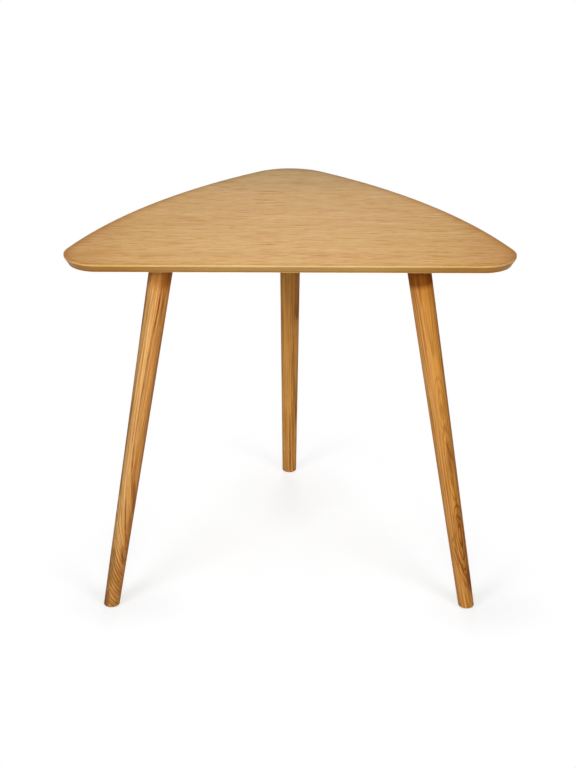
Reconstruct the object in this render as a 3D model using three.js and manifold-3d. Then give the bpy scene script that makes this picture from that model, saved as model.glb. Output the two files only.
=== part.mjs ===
// Triangular dining table: a veneered board on three tapered legs screwed into angled steel plates.
// Millimetres, +Z up. The straight edge of the board faces -Y, and its point faces +Y.
// The origin is the bottom centre of the box round the whole table.

import * as THREE from "three";
import { mergeVertices } from "three/addons/utils/BufferGeometryUtils.js";
import Module from "manifold-3d";

const wasm = await Module();
wasm.setup();

const degrees = Math.PI / 180;

// Overall sizes
const tableHeight = 750;
const topWidth = 880;
const topDepth = 600;

// Board outline: a straight front edge, two bowed sides and three round corners
const frontCornerRadius = 67;
const backCornerRadius = 113;
const sideRadius = 1100;

// Board section: face veneer, core and backing veneer, with a lip over an undercut edge
const boardThickness = 18;
const veneerThickness = 0.6;
const lipHeight = 4;
const lipRounding = 0.9;
const undercutInset = 9;
const arrisShare = 0.6; // of the face veneer's thickness

// Leg places, measured where each leg's axis meets the underside of the board
const frontLegSideInset = 191;
const frontLegInset = 68;
const backLegInset = 115;
const frontLegAngle = 30 * degrees;
const splay = 10.5 * degrees;

// Legs
const legTopDiameter = 47;
const legFootDiameter = 32;
const legTopChamfer = 1.5;
const footRounding = 3;

// Mounting plates: pressed sheet with a sunk pad that faces along the leg
const plateSize = 66;
const plateCornerRadius = 8;
const plateThickness = 2.5;
const plateHoleSpacing = 46;
const padDiameter = 35;
const pressRadius = 2;
const pocketWallAngle = 20 * degrees;

// Weld nuts and hanger bolts
const boltDiameter = 8;
const boltGrip = 34;
const boltPoint = 7;
const boltEndChamfer = 0.8;
const boltEndProud = 0.5;
const nutAcrossFlats = 13;
const nutHeight = 6.5;
const nutCornerDrop = 1.1;
const nutHeadroom = 0.5;

// Countersunk screws that hold the plates
const screwDiameter = 4;
const screwLength = 15;
const screwPoint = 4;
const screwHeadDiameter = 8;
const screwHeadRim = 0.3;

// Floor glides and the nails that hold them
const glideDiameter = 20;
const glideThickness = 2;
const glideChamfer = 0.6;
const nailDiameter = 2.2;
const nailLength = 15;
const nailPoint = 3;
const nailHeadDiameter = 6;
const nailHeadHeight = 0.6;
const nailRecess = 0.4;

// Gap between fitted pieces, and how far a cut runs past the face it opens
const fitGap = 0.3;
const overrun = 1;

// Facets
const frontCornerSteps = 22;
const sideSteps = 20;
const backCornerSteps = 12;
const edgeSteps = 3;
const legFacets = 48;
const footSteps = 4;
const roundFacets = 24;
const smallFacets = 16;

// Heights of the board's layers
const undersideHeight = tableHeight - boardThickness;
const coreBottom = undersideHeight + veneerThickness;
const coreTop = tableHeight - veneerThickness;
const lipBottom = tableHeight - lipHeight;

// Distances down a leg's axis from the underside of the board
const nutCornerRadius = nutAcrossFlats / Math.sqrt(3);
const nutTop = (nutCornerRadius * Math.sin(splay) + nutHeadroom) / Math.cos(splay);
const padUpper = nutTop + nutHeight + fitGap;
const padLower = padUpper + plateThickness;
const legTop = padLower + fitGap;
const footDrop = undersideHeight - glideThickness - fitGap;
const legFoot = footDrop / Math.cos(splay);

const oakVeneer = new THREE.MeshStandardMaterial({ color: 0xd8ae78, roughness: 0.5, metalness: 0 });
const oakLeg = new THREE.MeshStandardMaterial({ color: 0xbd8848, roughness: 0.48, metalness: 0 });
const boardCore = new THREE.MeshStandardMaterial({ color: 0xcfa76a, roughness: 0.55, metalness: 0 });
const steel = new THREE.MeshStandardMaterial({ color: 0xb9bcc0, roughness: 0.38, metalness: 0.9 });
const nylon = new THREE.MeshStandardMaterial({ color: 0xe6e1d6, roughness: 0.6, metalness: 0 });

// A manifold solid from a closed three.js geometry
function solidOf(geometry, matrix = new THREE.Matrix4()) {
  const bare = new THREE.BufferGeometry();
  bare.setAttribute("position", geometry.getAttribute("position").clone());
  bare.setIndex(geometry.getIndex());
  const merged = mergeVertices(bare.applyMatrix4(matrix));
  const triVerts = new Uint32Array(merged.getIndex().array);
  const vertProperties = new Float32Array(merged.getAttribute("position").array);
  return new wasm.Manifold(new wasm.Mesh({ numProp: 3, vertProperties, triVerts }));
}

// A flat-shaded three.js geometry from a manifold solid
function geometryOf(solid) {
  const { vertProperties, triVerts } = solid.getMesh();
  const indexed = new THREE.BufferGeometry();
  indexed.setAttribute("position", new THREE.BufferAttribute(vertProperties, 3));
  indexed.setIndex(new THREE.BufferAttribute(triVerts, 1));
  const geometry = indexed.toNonIndexed();
  geometry.computeVertexNormals();
  return geometry;
}

function addMesh(parent, name, geometry, material) {
  const mesh = new THREE.Mesh(geometry, material);
  mesh.name = name;
  parent.add(mesh);
  return mesh;
}

// A closed solid through rings of points, lowest ring first, each running anticlockwise from above
function loft(rings) {
  const count = rings[0].length;
  const points = rings.flat();
  const faces = [];
  for (let level = 0; level < rings.length - 1; level++) {
    for (let i = 0; i < count; i++) {
      const low = level * count + i;
      const lowNext = level * count + ((i + 1) % count);
      faces.push(low, lowNext, lowNext + count, low, lowNext + count, low + count);
    }
  }
  const lastRing = (rings.length - 1) * count;
  const cap = THREE.ShapeUtils.triangulateShape(rings[0], []);
  for (const [a, b, c] of cap) {
    faces.push(a, c, b, lastRing + a, lastRing + b, lastRing + c);
  }
  const geometry = new THREE.BufferGeometry().setFromPoints(points);
  geometry.setIndex(faces);
  return geometry;
}

// A solid turned about the Z axis, from [radius, height] pairs listed from the bottom up
function turned(profile, facets = smallFacets) {
  const points = profile.map(([radius, height]) => new THREE.Vector2(radius, height));
  return new THREE.LatheGeometry(points, facets).rotateX(Math.PI / 2);
}

function arcPoints(centre, radius, from, to, steps) {
  return new THREE.ArcCurve(centre.x, centre.y, radius, from, to, false).getPoints(steps);
}

// The board's outline moved inward by an inset, anticlockwise from the right end of the front edge
function boardOutline(inset) {
  const frontCorner = new THREE.Vector2(topWidth / 2 - frontCornerRadius, frontCornerRadius);
  const backCorner = new THREE.Vector2(0, topDepth - backCornerRadius);

  // The side arc touches both corner arcs, so its centre lies at a known distance from each
  const toFront = sideRadius - frontCornerRadius;
  const toBack = sideRadius - backCornerRadius;
  const chord = backCorner.clone().sub(frontCorner);
  const along = (toFront ** 2 - toBack ** 2 + chord.lengthSq()) / (2 * chord.length());
  const across = Math.sqrt(toFront ** 2 - along ** 2);
  const step = chord.clone().normalize();
  const inward = new THREE.Vector2(-step.y, step.x);
  const sideCentre = frontCorner.clone().addScaledVector(step, along).addScaledVector(inward, across);

  const sideStart = frontCorner.clone().sub(sideCentre).angle();
  const sideEnd = backCorner.clone().sub(sideCentre).angle();
  const half = [
    ...arcPoints(frontCorner, frontCornerRadius - inset, -Math.PI / 2, sideStart, frontCornerSteps),
    ...arcPoints(sideCentre, sideRadius - inset, sideStart, sideEnd, sideSteps).slice(1),
    ...arcPoints(backCorner, backCornerRadius - inset, sideEnd, Math.PI / 2, backCornerSteps).slice(1),
  ];
  const otherHalf = half.slice(0, -1).reverse();
  return [...half, ...otherHalf.map((point) => new THREE.Vector2(-point.x, point.y))];
}

// A layer of the board through [inset, height] pairs, lowest first
function boardLayer(profile) {
  return loft(
    profile.map(([inset, height]) =>
      boardOutline(inset).map((point) => new THREE.Vector3(point.x, point.y, height)),
    ),
  );
}

// How far the undercut edge stands in from the lip at a height below it
function undercutAt(height) {
  return (undercutInset * (lipBottom - height)) / (lipBottom - undersideHeight);
}

// A softened edge between two faces, as [inset, height] pairs
function softEdge(start, corner, end) {
  const [a, b, c] = [start, corner, end].map((pair) => new THREE.Vector2(...pair));
  const curve = new THREE.QuadraticBezierCurve(a, b, c);
  return curve.getPoints(edgeSteps).map((point) => [point.x, point.y]);
}

function coreBlank() {
  const underLip = lipBottom - lipRounding;
  const lipEdge = softEdge([undercutAt(underLip), underLip], [0, lipBottom], [0, lipBottom + lipRounding]);
  return boardLayer([[undercutAt(coreBottom), coreBottom], ...lipEdge, [0, coreTop]]);
}

function faceVeneer() {
  const arris = veneerThickness * arrisShare;
  const arrisEdge = softEdge([0, tableHeight - arris], [0, tableHeight], [arris, tableHeight]);
  return boardLayer([[0, coreTop], ...arrisEdge]);
}

function backingBlank() {
  return boardLayer([
    [undercutInset, undersideHeight],
    [undercutAt(coreBottom), coreBottom],
  ]);
}

// A countersunk screw pointing up, with the board's underside at height zero
function screw() {
  const headBottom = -plateThickness;
  const neck = headBottom + screwHeadRim + (screwHeadDiameter - screwDiameter) / 2;
  return turned([
    [0, headBottom],
    [screwHeadDiameter / 2, headBottom],
    [screwHeadDiameter / 2, headBottom + screwHeadRim],
    [screwDiameter / 2, neck],
    [screwDiameter / 2, headBottom + screwLength - screwPoint],
    [0, headBottom + screwLength],
  ]);
}

// The countersunk hole for that screw through the plate and into the board
function screwHole() {
  const headBottom = -plateThickness;
  const headRadius = screwHeadDiameter / 2 + fitGap;
  const shankRadius = screwDiameter / 2 + fitGap;
  const neck = headBottom + screwHeadRim + headRadius - shankRadius;
  return turned([
    [0, headBottom - overrun],
    [headRadius, headBottom - overrun],
    [headRadius, headBottom + screwHeadRim],
    [shankRadius, neck],
    [shankRadius, headBottom + screwLength - screwPoint],
    [0, headBottom + screwLength + fitGap],
  ]);
}

function screwPlaces() {
  const reach = plateHoleSpacing / 2;
  return [-reach, reach].flatMap((x) => [-reach, reach].map((y) => new THREE.Vector3(x, y, 0)));
}

// One face of the pressed pocket as a solid: a rounded floor at a depth, and a wall opening upwards
function pocketForm(floor, radius, rounding) {
  const slope = Math.tan(pocketWallAngle);
  const rim = plateSize / 2;
  const onFloor = new THREE.Vector2(radius - rounding, -floor);
  const corner = new THREE.Vector2(radius, -floor);
  const onWall = new THREE.Vector2(radius + rounding * slope, -floor + rounding);
  const bend = new THREE.QuadraticBezierCurve(onFloor, corner, onWall).getPoints(edgeSteps);
  return turned(
    [
      [0, -floor],
      ...bend.map((point) => [point.x, point.y]),
      [radius + (floor + rim) * slope, rim],
      [0, rim],
    ],
    roundFacets,
  );
}

function mountingPlate() {
  const half = plateSize / 2;
  const flat = half - plateCornerRadius;
  const outline = new THREE.Shape();
  outline.absarc(flat, flat, plateCornerRadius, 0, Math.PI / 2, false);
  outline.absarc(-flat, flat, plateCornerRadius, Math.PI / 2, Math.PI, false);
  outline.absarc(-flat, -flat, plateCornerRadius, Math.PI, 1.5 * Math.PI, false);
  outline.absarc(flat, -flat, plateCornerRadius, 1.5 * Math.PI, 2 * Math.PI, false);
  const sheet = { depth: plateThickness, bevelEnabled: false, curveSegments: edgeSteps };
  const flange = new THREE.ExtrudeGeometry(outline, sheet).translate(0, 0, -plateThickness);

  const tilt = new THREE.Matrix4().makeRotationY(-splay);
  const padRadius = padDiameter / 2;
  const innerRadius =
    padRadius + plateThickness * Math.tan(pocketWallAngle) - plateThickness / Math.cos(pocketWallAngle);
  const outerForm = solidOf(pocketForm(padLower, padRadius, pressRadius), tilt);
  const innerForm = solidOf(pocketForm(padUpper, innerRadius, pressRadius), tilt);
  const boltHole = new THREE.CylinderGeometry(
    boltDiameter / 2 + fitGap,
    boltDiameter / 2 + fitGap,
    2 * padLower,
    smallFacets,
  );
  boltHole.rotateX(Math.PI / 2).translate(0, 0, -padLower);
  const above = new THREE.BoxGeometry(2 * plateSize, 2 * plateSize, plateSize).translate(0, 0, half);

  let plate = solidOf(flange).add(outerForm).subtract(solidOf(above)).subtract(innerForm);
  plate = plate.subtract(solidOf(boltHole, tilt));
  for (const place of screwPlaces()) {
    plate = plate.subtract(solidOf(screwHole().translate(place.x, place.y, 0)));
  }
  return geometryOf(plate);
}

// A hexagonal weld nut with chamfered corners, standing on the pad
function weldNut() {
  const hexagon = new THREE.CylinderGeometry(nutCornerRadius, nutCornerRadius, nutHeight, 6);
  hexagon.rotateX(Math.PI / 2).translate(0, 0, nutHeight / 2);
  const faceRadius = nutAcrossFlats / 2;
  const rounding = turned(
    [
      [0, 0],
      [faceRadius, 0],
      [nutCornerRadius + overrun, nutCornerDrop],
      [nutCornerRadius + overrun, nutHeight - nutCornerDrop],
      [faceRadius, nutHeight],
      [0, nutHeight],
    ],
    roundFacets,
  );
  const bore = new THREE.CylinderGeometry(
    boltDiameter / 2 + fitGap,
    boltDiameter / 2 + fitGap,
    nutHeight + 2 * overrun,
    smallFacets,
  );
  bore.rotateX(Math.PI / 2).translate(0, 0, nutHeight / 2);
  const nut = solidOf(hexagon).intersect(solidOf(rounding)).subtract(solidOf(bore));
  return geometryOf(nut).translate(0, 0, -padUpper + fitGap);
}

// A hanger bolt: machine thread up through the plate and nut, wood thread down into the leg
function hangerBolt() {
  const radius = boltDiameter / 2;
  const end = -nutTop + boltEndProud;
  const tip = -legTop - boltGrip;
  return turned([
    [0, tip],
    [radius, tip + boltPoint],
    [radius, end - boltEndChamfer],
    [radius - boltEndChamfer, end],
    [0, end],
  ]);
}

// The leg's radius at a distance down its axis
function legRadiusAt(distance) {
  const taper = (legTopDiameter - legFootDiameter) / 2 / (legFoot - legTop);
  return legTopDiameter / 2 - taper * (distance - legTop);
}

// A ring square to the leg's axis
function squareRing(distance, inset) {
  const radius = legRadiusAt(distance) - inset;
  return Array.from({ length: legFacets }, (_, i) => {
    const turn = (i * 2 * Math.PI) / legFacets;
    return new THREE.Vector3(radius * Math.cos(turn), radius * Math.sin(turn), -distance);
  });
}

// A ring level with the floor, where each straight line down the leg's side meets that level
function levelRing(height, inset) {
  const taper = (legRadiusAt(legTop) - legRadiusAt(legFoot)) / (legFoot - legTop);
  return Array.from({ length: legFacets }, (_, i) => {
    const turn = (i * 2 * Math.PI) / legFacets;
    const lean = Math.cos(turn) * Math.sin(splay);
    const distance =
      (footDrop - height + (legRadiusAt(0) - inset) * lean) / (Math.cos(splay) + taper * lean);
    const radius = legRadiusAt(distance) - inset;
    return new THREE.Vector3(radius * Math.cos(turn), radius * Math.sin(turn), -distance);
  });
}

// A tapered leg: foot cut level with the floor and rounded, top square to its axis and bored
function leg() {
  const footRings = Array.from({ length: footSteps + 1 }, (_, i) => {
    const turn = (i * Math.PI) / 2 / footSteps;
    return levelRing(footRounding * (1 - Math.cos(turn)), footRounding * (1 - Math.sin(turn)));
  });
  const topRings = [squareRing(legTop + legTopChamfer, 0), squareRing(legTop, legTopChamfer)];
  const blank = loft([...footRings, ...topRings]);

  const boreRadius = boltDiameter / 2 + fitGap;
  const boltBore = turned([
    [0, -legTop - boltGrip - fitGap],
    [boreRadius, -legTop - boltGrip + boltPoint],
    [boreRadius, -legTop + overrun],
    [0, -legTop + overrun],
  ]);
  const nailTip = nailRecess + nailLength;
  const nailBore = turned([
    [0, 0],
    [nailDiameter / 2 + fitGap, 0],
    [nailDiameter / 2 + fitGap, nailTip - nailPoint],
    [0, nailTip + fitGap],
  ]);
  const toFoot = new THREE.Matrix4()
    .makeRotationY(splay)
    .multiply(new THREE.Matrix4().makeTranslation(footDrop * Math.tan(splay), 0, -undersideHeight));
  return geometryOf(solidOf(blank).subtract(solidOf(boltBore)).subtract(solidOf(nailBore, toFoot)));
}

// A glide: a chamfered disc with a stepped hole that sinks the nail's head
function glide() {
  const shankRadius = nailDiameter / 2 + fitGap;
  const headRadius = nailHeadDiameter / 2 + fitGap;
  const headSeat = nailRecess + nailHeadHeight + fitGap;
  return turned(
    [
      [headRadius, 0],
      [glideDiameter / 2 - glideChamfer, 0],
      [glideDiameter / 2, glideChamfer],
      [glideDiameter / 2, glideThickness],
      [shankRadius, glideThickness],
      [shankRadius, headSeat],
      [headRadius, headSeat],
      [headRadius, 0],
    ],
    roundFacets,
  );
}

function glideNail() {
  const seat = nailRecess + nailHeadHeight;
  const tip = nailRecess + nailLength;
  return turned([
    [0, nailRecess],
    [nailHeadDiameter / 2, nailRecess],
    [nailHeadDiameter / 2, seat],
    [nailDiameter / 2, seat],
    [nailDiameter / 2, tip - nailPoint],
    [0, tip],
  ]);
}

const legStations = [
  {
    name: "front_left",
    place: new THREE.Vector3(-topWidth / 2 + frontLegSideInset, frontLegInset, undersideHeight),
    direction: Math.PI + frontLegAngle,
  },
  {
    name: "front_right",
    place: new THREE.Vector3(topWidth / 2 - frontLegSideInset, frontLegInset, undersideHeight),
    direction: -frontLegAngle,
  },
  {
    name: "back",
    place: new THREE.Vector3(0, topDepth - backLegInset, undersideHeight),
    direction: Math.PI / 2,
  },
];

// The board, with its core and backing drilled for the plate screws
function board() {
  const group = new THREE.Group();
  let core = solidOf(coreBlank());
  let backing = solidOf(backingBlank());
  for (const { place, direction } of legStations) {
    const toBoard = new THREE.Matrix4().makeRotationZ(direction).setPosition(place);
    for (const hole of screwPlaces()) {
      const drill = solidOf(screwHole().translate(hole.x, hole.y, 0), toBoard);
      core = core.subtract(drill);
      backing = backing.subtract(drill);
    }
  }
  addMesh(group, "tabletop_core", geometryOf(core), boardCore);
  addMesh(group, "tabletop_veneer", faceVeneer(), oakVeneer);
  addMesh(group, "backing_veneer", geometryOf(backing), oakVeneer);
  return group;
}

// A leg with its plate, fastenings and glide, outward along +X from where its axis meets the board
function legSet({ name, place, direction }) {
  const group = new THREE.Group();
  group.position.copy(place);
  group.rotation.z = direction;
  addMesh(group, "mounting_plate_" + name, mountingPlate(), steel);
  screwPlaces().forEach((hole, i) => {
    const mesh = addMesh(group, "plate_screw_" + name + "_" + (i + 1), screw(), steel);
    mesh.position.copy(hole);
  });

  const tilted = new THREE.Group();
  tilted.rotation.y = -splay;
  addMesh(tilted, "weld_nut_" + name, weldNut(), steel);
  addMesh(tilted, "hanger_bolt_" + name, hangerBolt(), steel);
  addMesh(tilted, "leg_" + name, leg(), oakLeg);

  const foot = new THREE.Group();
  foot.position.set(footDrop * Math.tan(splay), 0, -undersideHeight);
  addMesh(foot, "floor_glide_" + name, glide(), nylon);
  addMesh(foot, "glide_nail_" + name, glideNail(), steel);
  group.add(tilted, foot);
  return group;
}

// The whole table, moved so that the middle of its box stands over the origin
const assembly = new THREE.Group();
assembly.add(board(), ...legStations.map(legSet));
const box = new THREE.Box3().setFromObject(assembly, true);
assembly.position.y = -(box.min.y + box.max.y) / 2;

const table = new THREE.Group();
table.add(assembly);

export default table;
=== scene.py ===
# Triangular dining table: a veneered board on three tapered oak legs, in metres.

import math

import bmesh
import bpy
from mathutils import Euler, Matrix, Vector


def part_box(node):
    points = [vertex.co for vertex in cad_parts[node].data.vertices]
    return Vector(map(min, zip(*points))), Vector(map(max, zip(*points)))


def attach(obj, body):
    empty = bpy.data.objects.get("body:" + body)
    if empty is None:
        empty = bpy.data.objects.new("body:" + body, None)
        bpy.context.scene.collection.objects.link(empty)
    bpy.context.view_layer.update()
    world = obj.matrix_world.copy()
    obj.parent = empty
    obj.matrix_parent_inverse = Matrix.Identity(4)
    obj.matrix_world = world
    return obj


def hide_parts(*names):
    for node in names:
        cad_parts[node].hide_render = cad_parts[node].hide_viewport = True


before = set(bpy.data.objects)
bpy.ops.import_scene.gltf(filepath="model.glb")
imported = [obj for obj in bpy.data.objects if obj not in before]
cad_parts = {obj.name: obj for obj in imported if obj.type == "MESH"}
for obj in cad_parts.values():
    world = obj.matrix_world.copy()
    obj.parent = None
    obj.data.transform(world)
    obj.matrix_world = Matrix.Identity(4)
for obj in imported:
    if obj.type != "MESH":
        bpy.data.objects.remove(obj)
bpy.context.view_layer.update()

fullTurn = 2 * math.pi
mergeDistance = 1e-6    # vertices nearer to each other than this become one
cutDistance = 1e-7      # the same in threads and at cuts
nearby = 1e-5           # how near to a place a vertex or a face counts as being there
standOff = 1e-5         # how far a cutting shape stays off a face that it leaves whole
overrun = 0.001         # how far it runs past what it cuts
straightUp = 0.99       # a face looks up if its normal rises by more than this


def deselectAll():
    if bpy.context.mode != "OBJECT":
        bpy.ops.object.mode_set(mode="OBJECT")
    bpy.ops.object.select_all(action="DESELECT")


def pickOnly(piece):
    deselectAll()
    piece.select_set(True)
    bpy.context.view_layer.objects.active = piece


def applyPlace():
    bpy.ops.object.transform_apply(location=True, rotation=True, scale=True)


def openPiece(name):
    piece = bpy.context.object
    piece.name = name
    piece.data.name = name
    applyPlace()
    bpy.ops.object.mode_set(mode="EDIT")
    bpy.ops.mesh.select_mode(type="VERT")
    bpy.ops.mesh.select_all(action="SELECT")


def mergeAll(distance=mergeDistance):
    bpy.ops.mesh.select_all(action="SELECT")
    bpy.ops.mesh.remove_doubles(threshold=distance)


def faceOutward():
    bpy.ops.mesh.select_all(action="SELECT")
    bpy.ops.mesh.normals_make_consistent(inside=False)


def closePiece(smoothAngle=30):
    mergeAll()
    faceOutward()
    bpy.ops.object.mode_set(mode="OBJECT")
    bpy.ops.object.shade_smooth_by_angle(angle=math.radians(smoothAngle))
    return bpy.context.object


def smoothAgain(piece, smoothAngle):
    pickOnly(piece)
    bpy.ops.object.shade_smooth_by_angle(angle=math.radians(smoothAngle))


def selectParts(kind, test):
    bpy.ops.mesh.select_mode(type=kind)
    bpy.ops.mesh.select_all(action="DESELECT")
    mesh = bmesh.from_edit_mesh(bpy.context.edit_object.data)
    for part in mesh.edges if kind == "EDGE" else mesh.faces:
        part.select_set(test(part))
    bmesh.update_edit_mesh(bpy.context.edit_object.data)


def selectEdges(test, fold=0):
    def wanted(edge):
        return edge.calc_face_angle(fullTurn) >= fold and all(test(vert.co) for vert in edge.verts)

    selectParts("EDGE", wanted)


def selectFaces(test):
    selectParts("FACE", lambda face: test(face.calc_center_median(), face.normal))


def near(value, target):
    return abs(value - target) < nearby


def roundEdges(offset, segments):
    bpy.ops.mesh.bevel(offset=offset, segments=segments, affect="EDGES")


def extrudeFace(step):
    bpy.ops.mesh.extrude_region_move(TRANSFORM_OT_translate={"value": step})


def cutAcross(place, normal, keep, fill=True):
    bpy.ops.mesh.select_all(action="SELECT")
    bpy.ops.mesh.bisect(plane_co=place, plane_no=normal, use_fill=fill, threshold=cutDistance,
                        clear_inner=keep == "above", clear_outer=keep == "below")


def startPoint(name, place):
    deselectAll()
    bpy.ops.mesh.primitive_plane_add(size=0.001, location=place)
    openPiece(name)
    bpy.ops.mesh.merge(type="CENTER")


def drawTo(step):
    bpy.ops.mesh.extrude_vertices_move(TRANSFORM_OT_translate={"value": step})


def drawProfile(points):
    for here, after in zip(points, points[1:]):
        drawTo((after[0] - here[0], 0, after[1] - here[1]))


# a body turned from (radius, height) points that run from axis to axis, or round a closed ring
def turnedPiece(name, points, steps=48):
    startPoint(name, (points[0][0], 0, points[0][1]))
    drawProfile(points)
    bpy.ops.mesh.select_all(action="SELECT")
    bpy.ops.mesh.spin(steps=steps, angle=fullTurn, center=(0, 0, 0), axis=(0, 0, 1))
    return closePiece()


def applyModifier(piece, kind, **settings):
    pickOnly(piece)
    modifier = piece.modifiers.new(kind.lower(), kind)
    for setting, value in settings.items():
        setattr(modifier, setting, value)
    bpy.ops.object.modifier_apply(modifier=modifier.name)


def joinShape(piece, tool, operation, keepTool=False):
    applyModifier(piece, "BOOLEAN", operation=operation, object=tool, solver="EXACT")
    if not keepTool:
        bpy.data.objects.remove(tool)


def copyPiece(piece, name, location, rotation=(0, 0, 0)):
    pickOnly(piece)
    bpy.ops.object.duplicate(linked=False)
    copy = bpy.context.object
    copy.name = name
    copy.data.name = name
    copy.location = location
    copy.rotation_euler = rotation
    applyPlace()
    return copy


# one pitch of thread swept up a helix, then cut square at both ends
def threadedRod(name, thread, low, high, clearance=0.0):
    outer, inner = thread["radius"] + clearance, thread["rootRadius"] + clearance
    pitch, root, steps = thread["pitch"], thread["root"], thread["steps"]
    flank = (pitch - thread["crest"] - root) / 2
    start = -pitch * math.ceil(1 - low / pitch)
    startPoint(name, (inner, 0, start))
    drawProfile([(inner, 0), (inner, root), (outer, root + flank), (outer, pitch - flank), (inner, pitch)])
    bpy.ops.object.mode_set(mode="OBJECT")
    turns = math.ceil((high - start) / pitch) + 1
    applyModifier(bpy.context.object, "SCREW", axis="Z", screw_offset=pitch, iterations=turns, steps=steps,
                  render_steps=steps, use_merge_vertices=True, merge_threshold=cutDistance)
    bpy.ops.object.mode_set(mode="EDIT")
    mergeAll(cutDistance)
    cutAcross((0, 0, low), (0, 0, 1), keep="above")
    cutAcross((0, 0, high), (0, 0, 1), keep="below")
    return closePiece()


def standFor(piece, material, slot, *nodes):
    piece.data.materials.clear()
    piece.data.materials.append(material)
    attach(piece, "root")
    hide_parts(*nodes)


board = {
    "width": 0.880,
    "depth": 0.600,
    "frontCornerRadius": 0.067,
    "backCornerRadius": 0.113,
    "sideRadius": 1.100,
    "lipHeight": 0.004,
    "lipRounding": 0.0009,
    "undercutInset": 0.009,
    "arrisRounding": 0.0004,
    "paintedRimRings": (0.006, 0.019),    # where the painted shade along the outline starts to fade, and over what width
    "cornerSteps": 48,
    "sideSteps": 44,
    "edgeSegments": 4,
}
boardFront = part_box("tabletop_core")[0].y
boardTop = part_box("tabletop_veneer")[1].z
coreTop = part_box("tabletop_core")[1].z
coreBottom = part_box("tabletop_core")[0].z
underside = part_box("backing_veneer")[0].z
lipBottom = boardTop - board["lipHeight"]


def undercutAt(height):
    return board["undercutInset"] * (lipBottom - height) / (lipBottom - underside)


# half the outline from the middle of the straight edge, a run and three arcs, then its mirror image
def boardOutline(name, inset, height):
    frontRadius, backRadius = board["frontCornerRadius"], board["backCornerRadius"]
    frontCentre = Vector((board["width"] / 2 - frontRadius, boardFront + frontRadius, 0))
    backCentre = Vector((0, boardFront + board["depth"] - backRadius, 0))
    toFront = board["sideRadius"] - frontRadius
    toBack = board["sideRadius"] - backRadius
    chord = backCentre - frontCentre
    along = (toFront ** 2 - toBack ** 2 + chord.length_squared) / (2 * chord.length)
    across = math.sqrt(toFront ** 2 - along ** 2)
    step = chord.normalized()
    sideCentre = frontCentre + step * along + Vector((-step.y, step.x, 0)) * across
    sideStart = math.atan2(frontCentre.y - sideCentre.y, frontCentre.x - sideCentre.x)
    sideEnd = math.atan2(backCentre.y - sideCentre.y, backCentre.x - sideCentre.x)

    startPoint(name, (0, boardFront + inset, height))
    drawTo((frontCentre.x, 0, 0))
    arcs = [
        (frontCentre, sideStart + math.pi / 2, board["cornerSteps"]),
        (sideCentre, sideEnd - sideStart, board["sideSteps"]),
        (backCentre, math.pi / 2 - sideEnd, board["cornerSteps"] // 2),
    ]
    for centre, angle, steps in arcs:
        bpy.ops.mesh.spin(steps=steps, angle=-angle, center=(centre.x, centre.y, height), axis=(0, 0, 1))
    bpy.ops.mesh.select_all(action="SELECT")
    bpy.ops.mesh.symmetrize(direction="POSITIVE_X", threshold=nearby)
    mergeAll()
    bpy.ops.mesh.edge_face_add()
    faceOutward()


# one layer of the board, from its outline at one height to another
def boardLayer(name, inset, start, end):
    boardOutline(name, inset, start)
    extrudeFace((0, 0, end - start))
    faceOutward()


def buildCore():
    boardLayer("boardCore", 0, coreTop, lipBottom)
    selectFaces(lambda centre, normal: near(centre.z, lipBottom))
    bpy.ops.mesh.inset(thickness=undercutAt(coreBottom), depth=lipBottom - coreBottom)
    selectEdges(lambda co: near(co.z, lipBottom))
    roundEdges(board["lipRounding"], board["edgeSegments"])
    return closePiece()


def buildFaceVeneer():
    boardLayer("faceVeneer", 0, coreTop, boardTop)
    selectEdges(lambda co: near(co.z, boardTop))
    roundEdges(board["arrisRounding"], board["edgeSegments"])
    selectFaces(lambda centre, normal: near(centre.z, boardTop) and normal.z > straightUp)
    for width in board["paintedRimRings"]:
        bpy.ops.mesh.inset(thickness=width, depth=0)
    piece = closePiece(smoothAngle=40)
    # the rim attribute marks the painted shade along the outline
    rim = piece.data.attributes.new("rim", "FLOAT", "POINT")
    outline = [vert.co.xy for vert in piece.data.vertices if near(vert.co.z, coreTop)]
    fade, full = sum(board["paintedRimRings"]), board["paintedRimRings"][0]
    for vert in piece.data.vertices:
        inward = min((vert.co.xy - point).length for point in outline)
        rim.data[vert.index].value = min(1, max(0, (fade - inward) / (fade - full)))
    return piece


def buildBackingVeneer():
    boardLayer("backingVeneer", undercutAt(coreBottom), coreBottom, underside)
    selectFaces(lambda centre, normal: near(centre.z, underside))
    bpy.ops.mesh.inset(thickness=undercutAt(underside) - undercutAt(coreBottom), depth=0)
    return closePiece()


core = buildCore()
faceVeneer = buildFaceVeneer()
backingVeneer = buildBackingVeneer()
print("board pieces made")


leg = {
    "frontSpread": 0.249,       # from the middle line to a front leg's axis, at the board's underside
    "frontInset": 0.068,        # from the straight edge
    "backInset": 0.115,         # from the point
    "splay": math.radians(10.5),
    "topRadius": 0.0235,
    "footRadius": 0.016,
    "topChamfer": 0.0015,
    "chamferSegments": 2,
    "footRounding": 0.003,
    "footSegments": 6,
    "sides": 96,
}
frontY = boardFront + leg["frontInset"]
backY = boardFront + board["depth"] - leg["backInset"]
stations = {
    "front_left": {"place": Vector((-leg["frontSpread"], frontY, underside)), "turn": math.radians(210)},
    "front_right": {"place": Vector((leg["frontSpread"], frontY, underside)), "turn": math.radians(-30)},
    "back": {"place": Vector((0, backY, underside)), "turn": math.radians(90)},
}
plate = {
    "size": 0.066,
    "cornerRadius": 0.008,
    "thickness": 0.0025,
    "holeSpacing": 0.046,
    "padRadius": 0.0175,
    "wallAngle": math.radians(20),
    "wallRise": 0.016,          # more than the pocket is deep: the flange's level cuts it
    "pocketReach": 0.028,       # the pocket's rim is nearer to the middle
    "edgeReach": 0.030,         # the plate's edge is farther from it
    "padBend": 0.0022,
    "flangeBend": 0.0016,
    "bendSegments": 4,
    "edgeRounding": 0.0003,
    "edgeSegments": 2,
    "boltHole": 0.0043,
    "sides": 64,
}
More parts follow.
